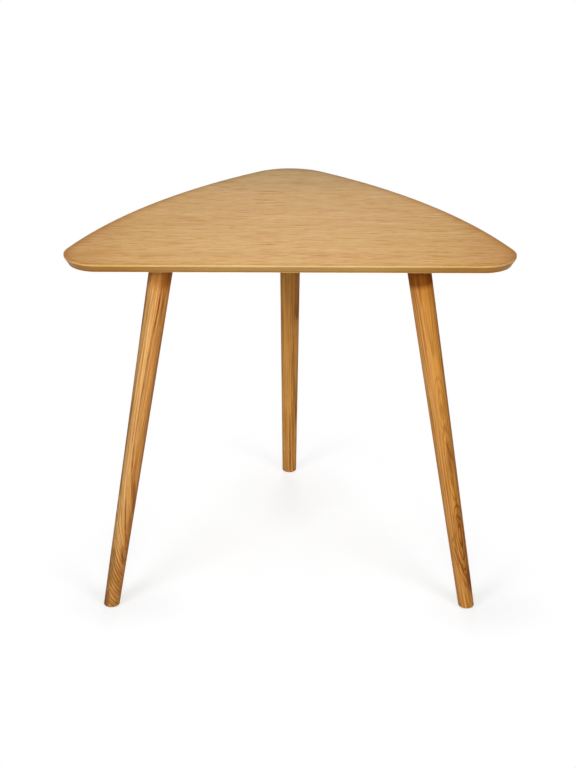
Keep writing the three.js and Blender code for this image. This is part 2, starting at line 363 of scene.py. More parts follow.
nut = {
    "acrossFlats": 0.013,
    "height": 0.0065,
    "cornerDrop": 0.0011,
    "headroom": 0.0005,
    "threadGap": 0.0001,
}
glide = {
    "radius": 0.010,
    "thickness": 0.002,
    "rounding": 0.0006,
    "arris": 0.0002,
    "groove": (0.0052, 0.0062, 0.00015),    # inner and outer radius of a moulded ring, and its depth
    "steps": 72,
}
fitGap = 0.0003    # between fitted pieces

# distances down a leg's axis from the board's underside
nutCorner = nut["acrossFlats"] / math.sqrt(3)
nutTop = (nutCorner * math.sin(leg["splay"]) + nut["headroom"]) / math.cos(leg["splay"])
padUpper = nutTop + nut["height"] + fitGap
padLower = padUpper + plate["thickness"]
legTop = padLower + fitGap
footDrop = underside - glide["thickness"] - fitGap
legFoot = footDrop / math.cos(leg["splay"])
footShift = footDrop * math.tan(leg["splay"])
leg["taperPerLength"] = (leg["topRadius"] - leg["footRadius"]) / (legFoot - legTop)
for station in stations.values():
    station["tilted"] = (0, -leg["splay"], station["turn"])
    outward = Vector((math.cos(station["turn"]), math.sin(station["turn"]), 0))
    station["foot"] = Vector((station["place"].x, station["place"].y, 0)) + outward * footShift


bolt = {
    "machine": {"radius": 0.004, "rootRadius": 0.00335, "pitch": 0.00125,
                "crest": 0.00016, "root": 0.0003, "steps": 24},
    "wood": {"radius": 0.004, "rootRadius": 0.0027, "pitch": 0.0030,
             "crest": 0.0002, "root": 0.0012, "steps": 24},
    "proud": 0.0005,            # above the nut
    "endChamfer": 0.0008,
    "machineLength": 0.0135,
    "collar": 0.0035,
    "collarLength": 0.0035,
    "collarCones": (0.0003, 0.0002),    # height of the lower and of the upper cone
    "collarOverlap": 0.0006,    # how far the cones run into the threads
    "collarSink": 0.0002,       # how far they end inside the roots
    "grip": 0.034,              # in the leg
    "point": 0.007,
    "pointCutter": 1.2,         # its size against the point's
}


def buildBolt():
    end, tip = -nutTop + bolt["proud"], -legTop - bolt["grip"]
    radius, chamfer = bolt["machine"]["radius"], bolt["endChamfer"]
    machineEnd = end - bolt["machineLength"]
    collarEnd = machineEnd - bolt["collarLength"]
    piece = threadedRod("boltMaster", bolt["machine"], machineEnd, end)
    beyond = radius + chamfer
    endShape = [(0, machineEnd - overrun), (beyond, machineEnd - overrun), (beyond, end - 2 * chamfer),
                (radius - chamfer, end + standOff), (0, end + standOff)]
    joinShape(piece, turnedPiece("endShape", endShape), "INTERSECT")

    wood = threadedRod("woodThread", bolt["wood"], tip, collarEnd)
    beyond = radius * bolt["pointCutter"]
    pointShape = [(0, tip), (beyond, tip + bolt["point"] * bolt["pointCutter"]),
                  (beyond, collarEnd + overrun), (0, collarEnd + overrun)]
    joinShape(wood, turnedPiece("pointShape", pointShape), "INTERSECT")

    lowCone, highCone = bolt["collarCones"]
    overlap, sink = bolt["collarOverlap"], bolt["collarSink"]
    collar = [
        (0, collarEnd - overlap),
        (bolt["wood"]["rootRadius"] - sink, collarEnd - overlap),
        (bolt["collar"], collarEnd + lowCone),
        (bolt["collar"], machineEnd - highCone),
        (bolt["machine"]["rootRadius"] - sink, machineEnd + overlap),
        (0, machineEnd + overlap),
    ]
    joinShape(piece, turnedPiece("collar", collar), "UNION")
    joinShape(piece, wood, "UNION")
    smoothAgain(piece, smoothAngle=25)
    return piece


nail = {
    "radius": 0.0011,
    "ringRadius": 0.00094,
    "rings": (0.003, 0.001, 8),    # height of the first, spacing, count
    "ringShape": (0.0001, 0.8),    # height of the steep side, share of the spacing where the slope ends
    "length": 0.015,
    "point": 0.003,
    "headRadius": 0.003,
    "headHeight": 0.0006,
    "headRounding": 0.00015,
    "recess": 0.0004,
    "steps": 24,
}


def buildNail():
    low, seat = nail["recess"], nail["recess"] + nail["headHeight"]
    tip = nail["recess"] + nail["length"]
    radius, soft, head = nail["radius"], nail["headRounding"], nail["headRadius"]
    points = [(0, low), (head - 2 * soft, low), (head - soft / 2, low + soft / 2), (head, low + 2 * soft),
              (head, seat - soft), (head - soft, seat), (radius, seat)]
    first, spacing, count = nail["rings"]
    steep, slope = nail["ringShape"]
    for ring in range(count):
        height = first + ring * spacing
        points += [(radius, height), (nail["ringRadius"], height + steep), (radius, height + slope * spacing)]
    points += [(radius, tip - nail["point"]), (0, tip)]
    return turnedPiece("nailMaster", points, nail["steps"])


def buildGlide():
    radius, thick, soft, arris = glide["radius"], glide["thickness"], glide["rounding"], glide["arris"]
    headHole = nail["headRadius"] + fitGap
    shankHole = nail["radius"] + fitGap
    seat = nail["recess"] + nail["headHeight"] + fitGap
    inner, outer, deep = glide["groove"]
    points = [(headHole, 0), (inner, 0), (inner + deep, deep),
              (outer - deep, deep), (outer, 0), (radius - soft, 0)]
    for turn in (22.5, 45, 67.5, 90):
        bend = math.radians(turn)
        points.append((radius - soft + soft * math.sin(bend), soft - soft * math.cos(bend)))
    points += [(radius, thick - arris), (radius - arris, thick), (shankHole, thick),
               (shankHole, seat), (headHole, seat), (headHole, 0)]
    return turnedPiece("glideMaster", points, glide["steps"])


# a tapered cone, cut level with the floor and rounded at the foot, and cut by its own bolt and nail
def buildLeg(boltShape, nailShape):
    spare = 0.03    # past the foot, for the level cut
    length = legFoot - legTop
    deselectAll()
    bpy.ops.mesh.primitive_cone_add(
        vertices=leg["sides"],
        radius1=leg["footRadius"] - leg["taperPerLength"] * spare,
        radius2=leg["topRadius"],
        depth=length + spare,
        location=(0, 0, -legTop - (length + spare) / 2),
    )
    openPiece("legMaster")
    up = Vector((math.sin(leg["splay"]), 0, math.cos(leg["splay"])))
    footPoint = Vector((0, 0, -legFoot))
    cutAcross(footPoint, up, keep="above")
    selectEdges(lambda co: near((co - footPoint).dot(up), 0))
    roundEdges(leg["footRounding"], leg["footSegments"])
    selectEdges(lambda co: near(co.z, -legTop))
    roundEdges(leg["topChamfer"], leg["chamferSegments"])
    piece = closePiece(smoothAngle=35)
    joinShape(piece, boltShape, "DIFFERENCE", keepTool=True)
    nailPlace = Matrix.Rotation(leg["splay"], 3, "Y") @ Vector((footShift, 0, -underside))
    joinShape(piece, copyPiece(nailShape, "nailCut", nailPlace, (0, leg["splay"], 0)), "DIFFERENCE")
    smoothAgain(piece, smoothAngle=35)
    return piece


screw = {
    "thread": {"radius": 0.002, "rootRadius": 0.0014, "pitch": 0.0016,
               "crest": 0.00012, "root": 0.0006, "steps": 16},
    "length": 0.015,
    "point": 0.004,
    "pointCutter": 1.1,            # its size against the point's
    "headRadius": 0.004,
    "headRim": 0.0003,
    "headArris": 0.0001,
    "neck": (0.0004, 0.0005, 0.0001),    # thread into head, head into thread, head inside the root
    "recess": {"width": 0.0010, "reach": 0.0046, "depth": 0.0018, "narrowing": (0.35, 0.56, 1)},
    "driven": 37,                  # degrees that each recess is turned past the one before
}
screwLow = -plate["thickness"]     # a screw's head is level with the plate's lower face
screwTip = screwLow + screw["length"]


def buildScrew():
    radius, head, arris = screw["thread"]["radius"], screw["headRadius"], screw["headArris"]
    intoHead, intoThread, sink = screw["neck"]
    neck = screwLow + screw["headRim"] + head - radius
    piece = threadedRod("screwMaster", screw["thread"], neck - intoHead, screwTip)
    beyond = radius * screw["pointCutter"]
    pointShape = [(0, neck - overrun), (beyond, neck - overrun),
                  (beyond, screwTip - screw["point"] * screw["pointCutter"]), (0, screwTip)]
    joinShape(piece, turnedPiece("pointShape", pointShape, steps=24), "INTERSECT")
    headShape = [
        (0, screwLow),
        (head - arris, screwLow),
        (head, screwLow + arris),
        (head, screwLow + screw["headRim"]),
        (radius, neck),
        (screw["thread"]["rootRadius"] - sink, neck + intoThread),
        (0, neck + intoThread),
    ]
    joinShape(piece, turnedPiece("head", headShape, steps=32), "UNION")
    recess = screw["recess"]
    armSize = (recess["reach"], recess["width"], 2 * recess["depth"])
    for turn in (0, math.pi / 2):
        deselectAll()
        bpy.ops.mesh.primitive_cube_add(size=1, scale=armSize, location=(0, 0, screwLow))
        openPiece("recessArm")
        selectFaces(lambda centre, normal: normal.z > straightUp)
        bpy.ops.transform.resize(value=recess["narrowing"], center_override=(0, 0, screwLow))
        arm = closePiece()
        arm.rotation_euler.z = turn
        pickOnly(arm)
        applyPlace()
        joinShape(piece, arm, "DIFFERENCE")
    smoothAgain(piece, smoothAngle=25)
    return piece


# the hole through plate and board that a screw's head and shank fit in
def buildScrewHole():
    rim = screwLow + screw["headRim"]
    headHole = screw["headRadius"] + fitGap
    shankHole = screw["thread"]["radius"] + fitGap
    points = [
        (0, screwLow - overrun),
        (headHole, screwLow - overrun),
        (headHole, rim),
        (shankHole, rim + headHole - shankHole),
        (shankHole, screwTip - screw["point"]),
        (0, screwTip + fitGap),
    ]
    return turnedPiece("screwHole", points, steps=32)


def screwPlaces(middle=Vector((0, 0, 0)), turn=0):
    reach = plate["holeSpacing"] / 2
    turned = Matrix.Rotation(turn, 3, "Z")
    return [middle + turned @ Vector((x, y, 0)) for x in (-reach, reach) for y in (-reach, reach)]


# the lower face of the sheet, a tilted pad and its wall inside a flange, then thickened upwards
def buildPlate(holeShape):
    flange, rise = -plate["thickness"], plate["wallRise"]
    tilt = Euler((0, -leg["splay"], 0)).to_matrix()
    padCentre = tilt @ Vector((0, 0, -padLower))
    wallStep = tilt @ Vector((0, 0, rise))
    grow = 1 + rise * math.tan(plate["wallAngle"]) / plate["padRadius"]
    deselectAll()
    bpy.ops.mesh.primitive_circle_add(vertices=plate["sides"], radius=plate["padRadius"], fill_type="NGON",
                                      location=padCentre, rotation=(0, -leg["splay"], 0))
    openPiece("plateMaster")
    extrudeFace(wallStep)
    bpy.ops.transform.resize(value=(grow, grow, grow), center_override=padCentre + wallStep)
    bpy.ops.mesh.delete(type="ONLY_FACE")
    cutAcross((0, 0, flange), (0, 0, 1), keep="below", fill=False)

    bpy.ops.mesh.select_all(action="DESELECT")
    bpy.ops.mesh.primitive_plane_add(size=plate["size"], location=(0, 0, flange))
    bpy.ops.mesh.bevel(offset=plate["cornerRadius"], segments=plate["sides"] // 4 - 1, affect="VERTICES")
    bpy.ops.mesh.delete(type="ONLY_FACE")
    selectEdges(lambda co: near(co.z, flange))
    bpy.ops.mesh.fill(use_beauty=True)

    def onPad(co):
        local = tilt.inverted() @ co
        return near(local.z, -padLower) and near(math.hypot(local.x, local.y), plate["padRadius"])

    selectEdges(onPad)
    roundEdges(plate["padBend"], plate["bendSegments"])
    selectEdges(lambda co: near(co.z, flange) and co.xy.length < plate["pocketReach"])
    roundEdges(plate["flangeBend"], plate["bendSegments"])
    selectFaces(lambda centre, normal: near((centre - padCentre).length, 0))
    bpy.ops.mesh.inset(thickness=plate["padRadius"] - plate["padBend"] - plate["boltHole"], depth=0)
    bpy.ops.mesh.delete(type="FACE")
    mergeAll()
    faceOutward()
    mesh = bmesh.from_edit_mesh(bpy.context.edit_object.data)
    if max(mesh.faces, key=lambda face: face.calc_center_median().z).normal.z > 0:    # it has to look down
        bpy.ops.mesh.flip_normals()
    bpy.ops.object.mode_set(mode="OBJECT")
    piece = bpy.context.object
    applyModifier(piece, "SOLIDIFY", thickness=plate["thickness"], offset=-1, use_even_offset=True)
    bpy.ops.object.mode_set(mode="EDIT")
    selectEdges(lambda co: co.xy.length > plate["edgeReach"], fold=1)
    roundEdges(plate["edgeRounding"], plate["edgeSegments"])
    closePiece()
    for place in screwPlaces():
        joinShape(piece, copyPiece(holeShape, "plateHole", place), "DIFFERENCE")
    smoothAgain(piece, smoothAngle=35)
    return piece


def buildNut():
    low, high = -padUpper + fitGap, -nutTop
    deselectAll()
    bpy.ops.mesh.primitive_cylinder_add(vertices=6, radius=nutCorner, depth=nut["height"],
                                        location=(0, 0, (low + high) / 2))
    openPiece("nutMaster")
    piece = closePiece()
    flat, beyond, drop = nut["acrossFlats"] / 2, nutCorner + overrun, nut["cornerDrop"]
    rounding = [(0, low - standOff), (flat, low - standOff), (beyond, low + drop),
                (beyond, high - drop), (flat, high + standOff), (0, high + standOff)]
    joinShape(piece, turnedPiece("nutRounding", rounding, steps=72), "INTERSECT")
    thread = threadedRod("nutThread", bolt["machine"], low - overrun, high + overrun, nut["threadGap"])
    joinShape(piece, thread, "DIFFERENCE")
    smoothAgain(piece, smoothAngle=25)
    return piece


boltMaster = buildBolt()
nailMaster = buildNail()
glideMaster = buildGlide()
legMaster = buildLeg(boltMaster, nailMaster)
screwMaster = buildScrew()
holeMaster = buildScrewHole()
plateMaster = buildPlate(holeMaster)
nutMaster = buildNut()
print("one leg set made")

for station in stations.values():
    for place in screwPlaces(station["place"], station["turn"]):
        drill = copyPiece(holeMaster, "drill", place, (0, 0, station["turn"]))
        joinShape(core, drill, "DIFFERENCE", keepTool=True)
        joinShape(backingVeneer, drill, "DIFFERENCE")
print("board drilled for the plate screws")


def emptyTree(owner):
    owner.use_nodes = True
    owner.node_tree.nodes.clear()
    return owner.node_tree


def newMaterial(name, baseColor):
    material = bpy.data.materials.new(name)
    material.diffuse_color = (*baseColor, 1)
    tree = emptyTree(material)
    shader = tree.nodes.new("ShaderNodeBsdfPrincipled")
    output = tree.nodes.new("ShaderNodeOutputMaterial")
    tree.links.new(shader.outputs["BSDF"], output.inputs["Surface"])
    return material, tree, shader


def addNode(tree, kind, inputs, **settings):
    node = tree.nodes.new(kind)
    for setting, value in settings.items():
        setattr(node, setting, value)
    for socket, value in inputs.items():
        if isinstance(value, bpy.types.NodeSocket):
            tree.links.new(value, node.inputs[socket])
        else:
            node.inputs[socket].default_value = value
    return node


def mathNode(tree, operation, *values, clamp=False):
    inputs = dict(enumerate(values))
    return addNode(tree, "ShaderNodeMath", inputs, operation=operation, use_clamp=clamp).outputs[0]


def times(tree, first, *others):
    for value in others:
        first = mathNode(tree, "MULTIPLY", first, value)
    return first


def lengthOf(tree, first, second):
    squares = mathNode(tree, "ADD", times(tree, first, first), times(tree, second, second))
    return mathNode(tree, "SQRT", squares)


def vectorOf(tree, x, y, z):
    return addNode(tree, "ShaderNodeCombineXYZ", {"X": x, "Y": y, "Z": z}).outputs[0]


def partsOf(tree, vector):
    return addNode(tree, "ShaderNodeSeparateXYZ", {"Vector": vector}).outputs


def objectCoords(tree):
    return addNode(tree, "ShaderNodeTexCoord", {}).outputs["Object"]


def noise(tree, vector, stretch, detail, roughness=0.5):
    scaled = addNode(tree, "ShaderNodeVectorMath", {0: vector, 1: stretch}, operation="MULTIPLY")
    inputs = {"Vector": scaled.outputs[0], "Scale": 1.0, "Detail": detail, "Roughness": roughness}
    return addNode(tree, "ShaderNodeTexNoise", inputs).outputs["Fac"]


def ramp(tree, value, stops):
    node = addNode(tree, "ShaderNodeValToRGB", {"Fac": value})
    elements = node.color_ramp.elements
    while len(elements) < len(stops):
        elements.new(0.5)
    for element, (position, color) in zip(elements, stops):
        element.position = position
        element.color = (*color, 1) if isinstance(color, tuple) else (color, color, color, 1)
    return node.outputs["Color"]


def remap(tree, value, low, high, toLow=0.0, toHigh=1.0):
    inputs = {"Value": value, "From Min": low, "From Max": high, "To Min": toLow, "To Max": toHigh}
    return addNode(tree, "ShaderNodeMapRange", inputs, clamp=True).outputs["Result"]


def mixColor(tree, factor, first, second, blend="MIX"):
    node = tree.nodes.new("ShaderNodeMix")
    node.data_type = "RGBA"
    node.blend_type = blend
    for socket, value in (("Factor", factor), ("A", first), ("B", second)):
        kind = "VALUE" if socket == "Factor" else "RGBA"
        target = next(entry for entry in node.inputs if entry.name == socket and entry.type == kind)
        if isinstance(value, bpy.types.NodeSocket):
            tree.links.new(value, target)
        else:
            target.default_value = (*value, 1) if isinstance(value, tuple) else value
    return next(entry for entry in node.outputs if entry.type == "RGBA")


# the colour, multiplied by a tint where the amount is 1
def tint(tree, color, amount, level):
    return mixColor(tree, amount, color, mixColor(tree, 1.0, color, level, "MULTIPLY"))


# a value that a noise lifts by up to a height
def lifted(tree, value, vector, stretch, detail, height):
    return mathNode(tree, "MULTIPLY_ADD", noise(tree, vector, stretch, detail), height, value)


def mask(tree, vector, stretch, detail, roughness, levels):
    return remap(tree, noise(tree, vector, stretch, detail, roughness), *levels)


# noises that multiply the colour one after the other; the last one is handed back too
def layered(tree, color, vector, layers):
    for stretch, detail, roughness, stops in layers.values():
        texture = noise(tree, vector, stretch, detail, roughness)
        color = mixColor(tree, 1.0, color, ramp(tree, texture, stops), "MULTIPLY")
    return color, texture


noiseSpan = (0.3, 0.7)    # most levels of a noise lie in it


# colour, a roughness that follows a fine noise, and relief
def coat(tree, shader, color, fine, height, look):
    depth, strength = look["relief"]
    relief = addNode(tree, "ShaderNodeBump", {"Height": height, "Distance": depth, "Strength": strength})
    roughness = remap(tree, fine, *noiseSpan, *look["roughness"])
    links = {"Base Color": color, "Roughness": roughness, "Normal": relief.outputs["Normal"]}
    for socket, value in links.items():
        tree.links.new(value, shader.inputs[socket])
    for socket, value in look["shader"].items():
        shader.inputs[socket].default_value = value


# coordinates from a place, in a turned frame, with a size as their unit
def localTo(tree, vector, place, size, turn=(0, 0, 0)):
    inputs = {"Vector": vector, "Location": place, "Rotation": turn, "Scale": size}
    return addNode(tree, "ShaderNodeMapping", inputs, vector_type="TEXTURE").outputs["Vector"]


# 1 at the middle of a soft oval mark, falling to 0 at its rim
def softMark(tree, local, place, size, turn=(0, 0, 0)):
    inside = localTo(tree, local, place, size, turn)
    mark = addNode(tree, "ShaderNodeTexGradient", {"Vector": inside}, gradient_type="SPHERICAL")
    return mark.outputs["Fac"]


millimetre = (0.001, 0.001, 0.001)
endless = 1e5    # half size of a mark in the direction in which it goes right through the wood


# In the looks of wood, lengths are in mm. A noise is given by its stretch per mm along x, y and z, its detail
# and its roughness or height.
veneerLook = {
    "base": (0.722, 0.438, 0.150),
    "dark": (0.86, 0.66, 0.46),        # what a dark grain line multiplies the base by
    "pore": (0.72, 0.60, 0.45),
    # painted shade along the outline
    "rim": (0.87, 0.82, 0.68),
    "paintedBackShade": (110.0, 262.0, (0.80, 0.85, 0.77)),    # painted shade: y from where to where the veneer darkens towards the back, and by what
    "corners": (300.0, 430.0, (0.85, 0.75, 0.66)),    # painted shade: x to either side, in the same way
    "outermost": (0.90, 0.84, 0.74),
    "outermostFrom": 0.75,             # share of the rim attribute from which that starts
    "frontRim": (-270.0, -292.0, 1.0, 0.1),    # y from where to where the broad rim's painted shade fades, its shares
    "paleAndSheen": ((6, -38), 130, 20, (1.08, 1.15, 1.15)),    # painted sheen, a paler and greyer patch: (x, y), half sizes, colour
    "drift": ((0.004, 0.016, 0.0), 2.0, 14.0),    # how far the grain lines wander
    "layers": {                        # a noise and what its levels multiply the colour by
        "bands": ((0.0013, 0.030, 0.0), 3.0, 0.55,
                  [(0.32, (0.955, 0.91, 0.84)), (0.68, (1.035, 1.05, 1.12))]),
        "streaks": ((0.013, 0.15, 0.0), 3.0, 0.62,
                    [(0.36, (0.87, 0.73, 0.48)), (0.45, 1.0), (0.55, 1.0), (0.64, (1.06, 1.12, 1.36))]),
        "lines": ((0.032, 0.42, 0.0), 3.0, 0.6, [(0.3, (0.88, 0.77, 0.55)), (0.7, (1.06, 1.11, 1.32))]),
        "fibre": ((0.05, 1.7, 0.0), 2.0, 0.6, [(0.3, 0.94), (0.7, 1.05)]),
    },
    "patches": ((0.012, 0.05, 0.0), 1.0, 0.5, (0.35, 0.6, 0.25, 1.0)),    # a noise, two levels, strengths
    "flecks": ((0.022, 0.17, 0.0), 2.0, 0.55, (0.60, 0.68, 0.0, 0.8)),
    "faint": ((0.006, 0.05, 0.0), 2.0, 0.5, (0.4, 0.7, 0.0, 0.4)),
    "ragged": ((0.03, 0.4, 0.0), 2.0, 0.6, (0.3, 0.65, 0.25, 1.1)),
    "pores": ((0.10, 3.2, 0.0), 2.0, 0.5, (0.60, 0.70, 0.0, 0.6)),
    "poreDepth": 0.8,                  # against the fibre's relief
    "crownY": -257.0,                  # the line that the crown cuts run along
    "crownBand": (26.0, 6.0, 0.0, 0.75),    # how far from it their rings start and are full, strengths
    "crownDepth": 26.0,
    "crownSlope": 0.045,
    "wobble": ((0.014, 0.06, 0.0), 2.0, 5.0),
    "ringSpacing": 3.4,
    "ringShape": [(0.0, 1.0), (0.16, 0.9), (0.45, 0.1), (0.88, 0.0), (1.0, 1.0)],
    "markStrength": 2.2,
    "marks": [                         # (x, y), half length, half width, slant in degrees, strength
        ((-180, -107), 40, 5, 0, 0.9),
        ((-226, -189), 58, 7, 0, 0.8),
        ((-40, -194), 27, 6, 9, 1.0),
        ((290, -115), 34, 5, 0, 1.0),
        ((172, 53), 20, 6, -8, 0.9),
        ((-62, 57), 16, 7, 0, 0.9),
        ((-258, -257), 50, 5, 0, 0.7),
        ((120, -266), 30, 6, 0, 0.9),
        ((64, -255), 30, 5, 0, 0.8),
        ((204, -261), 22, 6, 8, 0.8),
        ((310, -262), 28, 5, 0, 0.7),
        ((14, 190), 20, 6, 0, 0.8),
        ((-133, 190), 44, 4, 0, 0.5),
        ((-80, -6), 46, 7, 0, 0.4),
        ((-87, -150), 30, 12, 0, 0.35),
    ],
    "roughness": (0.44, 0.37),
    "relief": (0.00008, 0.3),          # depth in m, strength
    "shader": {"Specular IOR Level": 0.05},
}


def oakVeneer(name, look):
    material, tree, shader = newMaterial(name, look["base"])
    local = localTo(tree, objectCoords(tree), (0, 0, 0), millimetre)
    x, y, z = partsOf(tree, local)
    middleY = mathNode(tree, "SUBTRACT", y, look["drift"][2] / 2)
    lineY = lifted(tree, middleY, local, *look["drift"])
    grain = vectorOf(tree, x, lineY, z)
    color, fibre = layered(tree, look["base"], grain, look["layers"])

    across = mathNode(tree, "SUBTRACT", lineY, look["crownY"])
    depth = mathNode(tree, "MULTIPLY_ADD", x, look["crownSlope"], look["crownDepth"])
    distance = lifted(tree, lengthOf(tree, across, depth), local, *look["wobble"])
    tone = mathNode(tree, "FRACT", mathNode(tree, "DIVIDE", distance, look["ringSpacing"]))
    ringLine = ramp(tree, tone, look["ringShape"])
    inBand = remap(tree, mathNode(tree, "ABSOLUTE", across), *look["crownBand"])
    inPatches = times(tree, inBand, mask(tree, local, *look["patches"]))
    shown = mathNode(tree, "MAXIMUM", inPatches, mask(tree, grain, *look["faint"]))
    darkness = mathNode(tree, "MAXIMUM", times(tree, ringLine, shown), mask(tree, grain, *look["flecks"]))
    ragged = mask(tree, grain, *look["ragged"])
    for (markX, markY), halfLength, halfWidth, slant, strength in look["marks"]:
        size, turn = (halfLength, halfWidth, endless), (0, 0, math.radians(slant))
        mark = softMark(tree, local, (markX, markY, 0), size, turn)
        mark = mathNode(tree, "MULTIPLY", mark, look["markStrength"] * strength, clamp=True)
        darkness = mathNode(tree, "MAXIMUM", darkness, times(tree, mark, ragged))
    color = tint(tree, color, darkness, look["dark"])

    poreMask = mask(tree, grain, *look["pores"])
    color = tint(tree, color, poreMask, look["pore"])
    # painted shade along the outline, faded out along the straight front edge
    rim = addNode(tree, "ShaderNodeAttribute", {}, attribute_name="rim").outputs["Fac"]
    color = tint(tree, color, times(tree, rim, remap(tree, y, *look["frontRim"])), look["rim"])
    color = tint(tree, color, remap(tree, rim, look["outermostFrom"], 1.0), look["outermost"])
    aside = mathNode(tree, "ABSOLUTE", x)
    # painted shade: darker towards the back end and towards both sides
    for value, (start, end, level) in ((y, look["paintedBackShade"]), (aside, look["corners"])):
        color = tint(tree, color, remap(tree, value, start, end), level)
    # painted sheen across the middle of the top
    (sheenX, sheenY), halfLength, halfWidth, level = look["paleAndSheen"]
    patch = softMark(tree, local, (sheenX, sheenY, 0), (halfLength, halfWidth, endless))
    color = tint(tree, color, patch, level)
    relief = mathNode(tree, "MULTIPLY_ADD", poreMask, -look["poreDepth"], fibre)
    coat(tree, shader, color, fibre, relief, look)
    return material


# Each leg's own frame starts where its axis meets the board's underside: x runs to the right as seen from the
# straight edge, y to the back and z up along the leg.
oakLook = {
    "light": (0.57, 0.264, 0.054),
    "middle": (0.49, 0.210, 0.036),
    "dark": (0.17, 0.040, 0.006),      # the colour of the dark lines
    "pore": (0.20, 0.066, 0.012),
    "paleSheenEdge": (-4.0, 7.0),           # x from where to where the paler side, the left, fades: partly paler wood, partly painted sheen
    "swing": (-390.0, 0.0),            # z below which the grain runs out to the right, and how fast
    "drift": ((0.02, 0.02, 0.0035), 1.0, 5.0),    # how far the rings wander
    "wobble": ((0.09, 0.09, 0.012), 2.0, 1.6),
    "ringSpacing": 2.9,
    "ringShape": [(0.0, 1.0), (0.12, 0.95), (0.42, 0.25), (0.80, 0.0), (0.94, 0.1), (1.0, 1.0)],
    "eachRing": ((0.16, 0.0048, 0.0), 2.0, 0.6, (0.35, 0.66, 0.10, 0.75)),    # along the radius and z
    "facing": (0.0, -6.0),             # y from where to where the drawn figures fade in, on the leg's front
    "ragged": ((0.5, 0.5, 0.03), 3.0, 0.65, (0.30, 0.55, 0.45, 1.0)),
    "broad": ((0.05, 0.05, 0.006), 3.0, 0.6),    # between the middle and the light colour
    "broadLevels": (0.34, 0.66),
    "layers": {
        "stripes": ((0.27, 0.27, 0.006), 3.0, 0.62,
                    [(0.3, (0.69, 0.59, 0.43)), (0.5, 1.0), (0.7, (1.16, 1.20, 1.28))]),
        "fibre": ((1.5, 1.5, 0.035), 3.0, 0.6, [(0.3, 0.86), (0.7, 1.10)]),
    },
    "pores": ((3.6, 3.6, 0.09), 2.0, 0.55, (0.60, 0.70, 0.0, 1.0)),
    "porous": (0.0, 0.5, 0.9, 0.3),    # two places in a ring, from its dark line, and their share of pores
    "poreDepth": 0.7,
    "roughness": (0.62, 0.52),
    "relief": (0.00012, 0.35),
    "shader": {"Specular IOR Level": 0.04},
    "eyes": [],                        # place, half width, half length, lift
    "ovals": [],                       # (x, z), half width, half length, rings, strength
}
